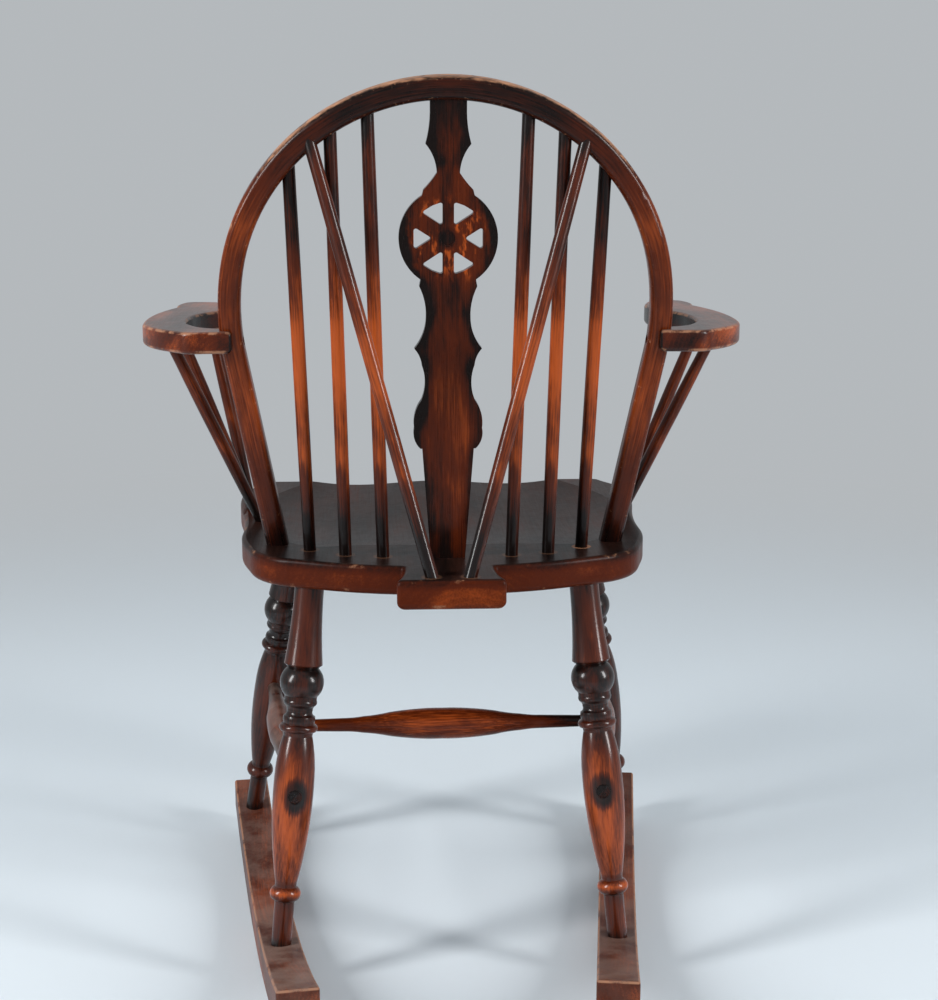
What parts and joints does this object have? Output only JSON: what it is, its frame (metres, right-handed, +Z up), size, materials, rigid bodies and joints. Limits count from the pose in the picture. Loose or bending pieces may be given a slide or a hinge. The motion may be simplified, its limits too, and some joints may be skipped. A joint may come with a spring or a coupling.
{
  "type": "hoop back rocking chair",
  "caption": "Wooden rocking armchair with a bent hoop back, shaved sticks, a pierced wheel splat, a saddled seat and turned legs socketed into bent rockers.",
  "frame": {"origin": "on the floor, at the centre of the base of the bounding box", "axes": "+Z up, -Y the way a sitter faces, +X to the sitter's left"},
  "size_m": [0.656, 0.6696, 0.9665],
  "materials": {
    "seat_wood": "satin, dark grey brown stain, worn",
    "bow_wood": "satin gloss, dark reddish brown stain",
    "stick_wood": "satin gloss, reddish brown stain, darker at the ends",
    "arm_wood": "worn satin, paler on top",
    "leg_wood": "satin gloss, dark reddish brown, near black in the turned grooves",
    "rocker_wood": "dusty satin, dark brown",
    "screw_steel": "dull, filed flush"
  },
  "bodies": {
    "root": {"seat": "seat_wood", "hoop": "bow_wood", "splat": "bow_wood", "spindle_inner_left": "stick_wood", "spindle_inner_right": "stick_wood", "spindle_middle_left": "stick_wood", "spindle_middle_right": "stick_wood", "spindle_outer_left": "stick_wood", "spindle_outer_right": "stick_wood", "brace_left": "stick_wood", "brace_right": "stick_wood", "arm_left": "arm_wood", "arm_right": "arm_wood", "arm_stick_rear_left": "stick_wood", "arm_stick_middle_left": "stick_wood", "arm_stick_front_left": "stick_wood", "arm_stick_rear_right": "stick_wood", "arm_stick_middle_right": "stick_wood", "arm_stick_front_right": "stick_wood", "leg_rear_left": "leg_wood", "leg_rear_right": "leg_wood", "leg_front_left": "leg_wood", "leg_front_right": "leg_wood", "stretcher_side_left": "leg_wood", "stretcher_side_right": "leg_wood", "stretcher_cross": "leg_wood", "rocker_left": "rocker_wood", "rocker_right": "rocker_wood", "arm_screws": "screw_steel"}
  },
  "joints": []
}
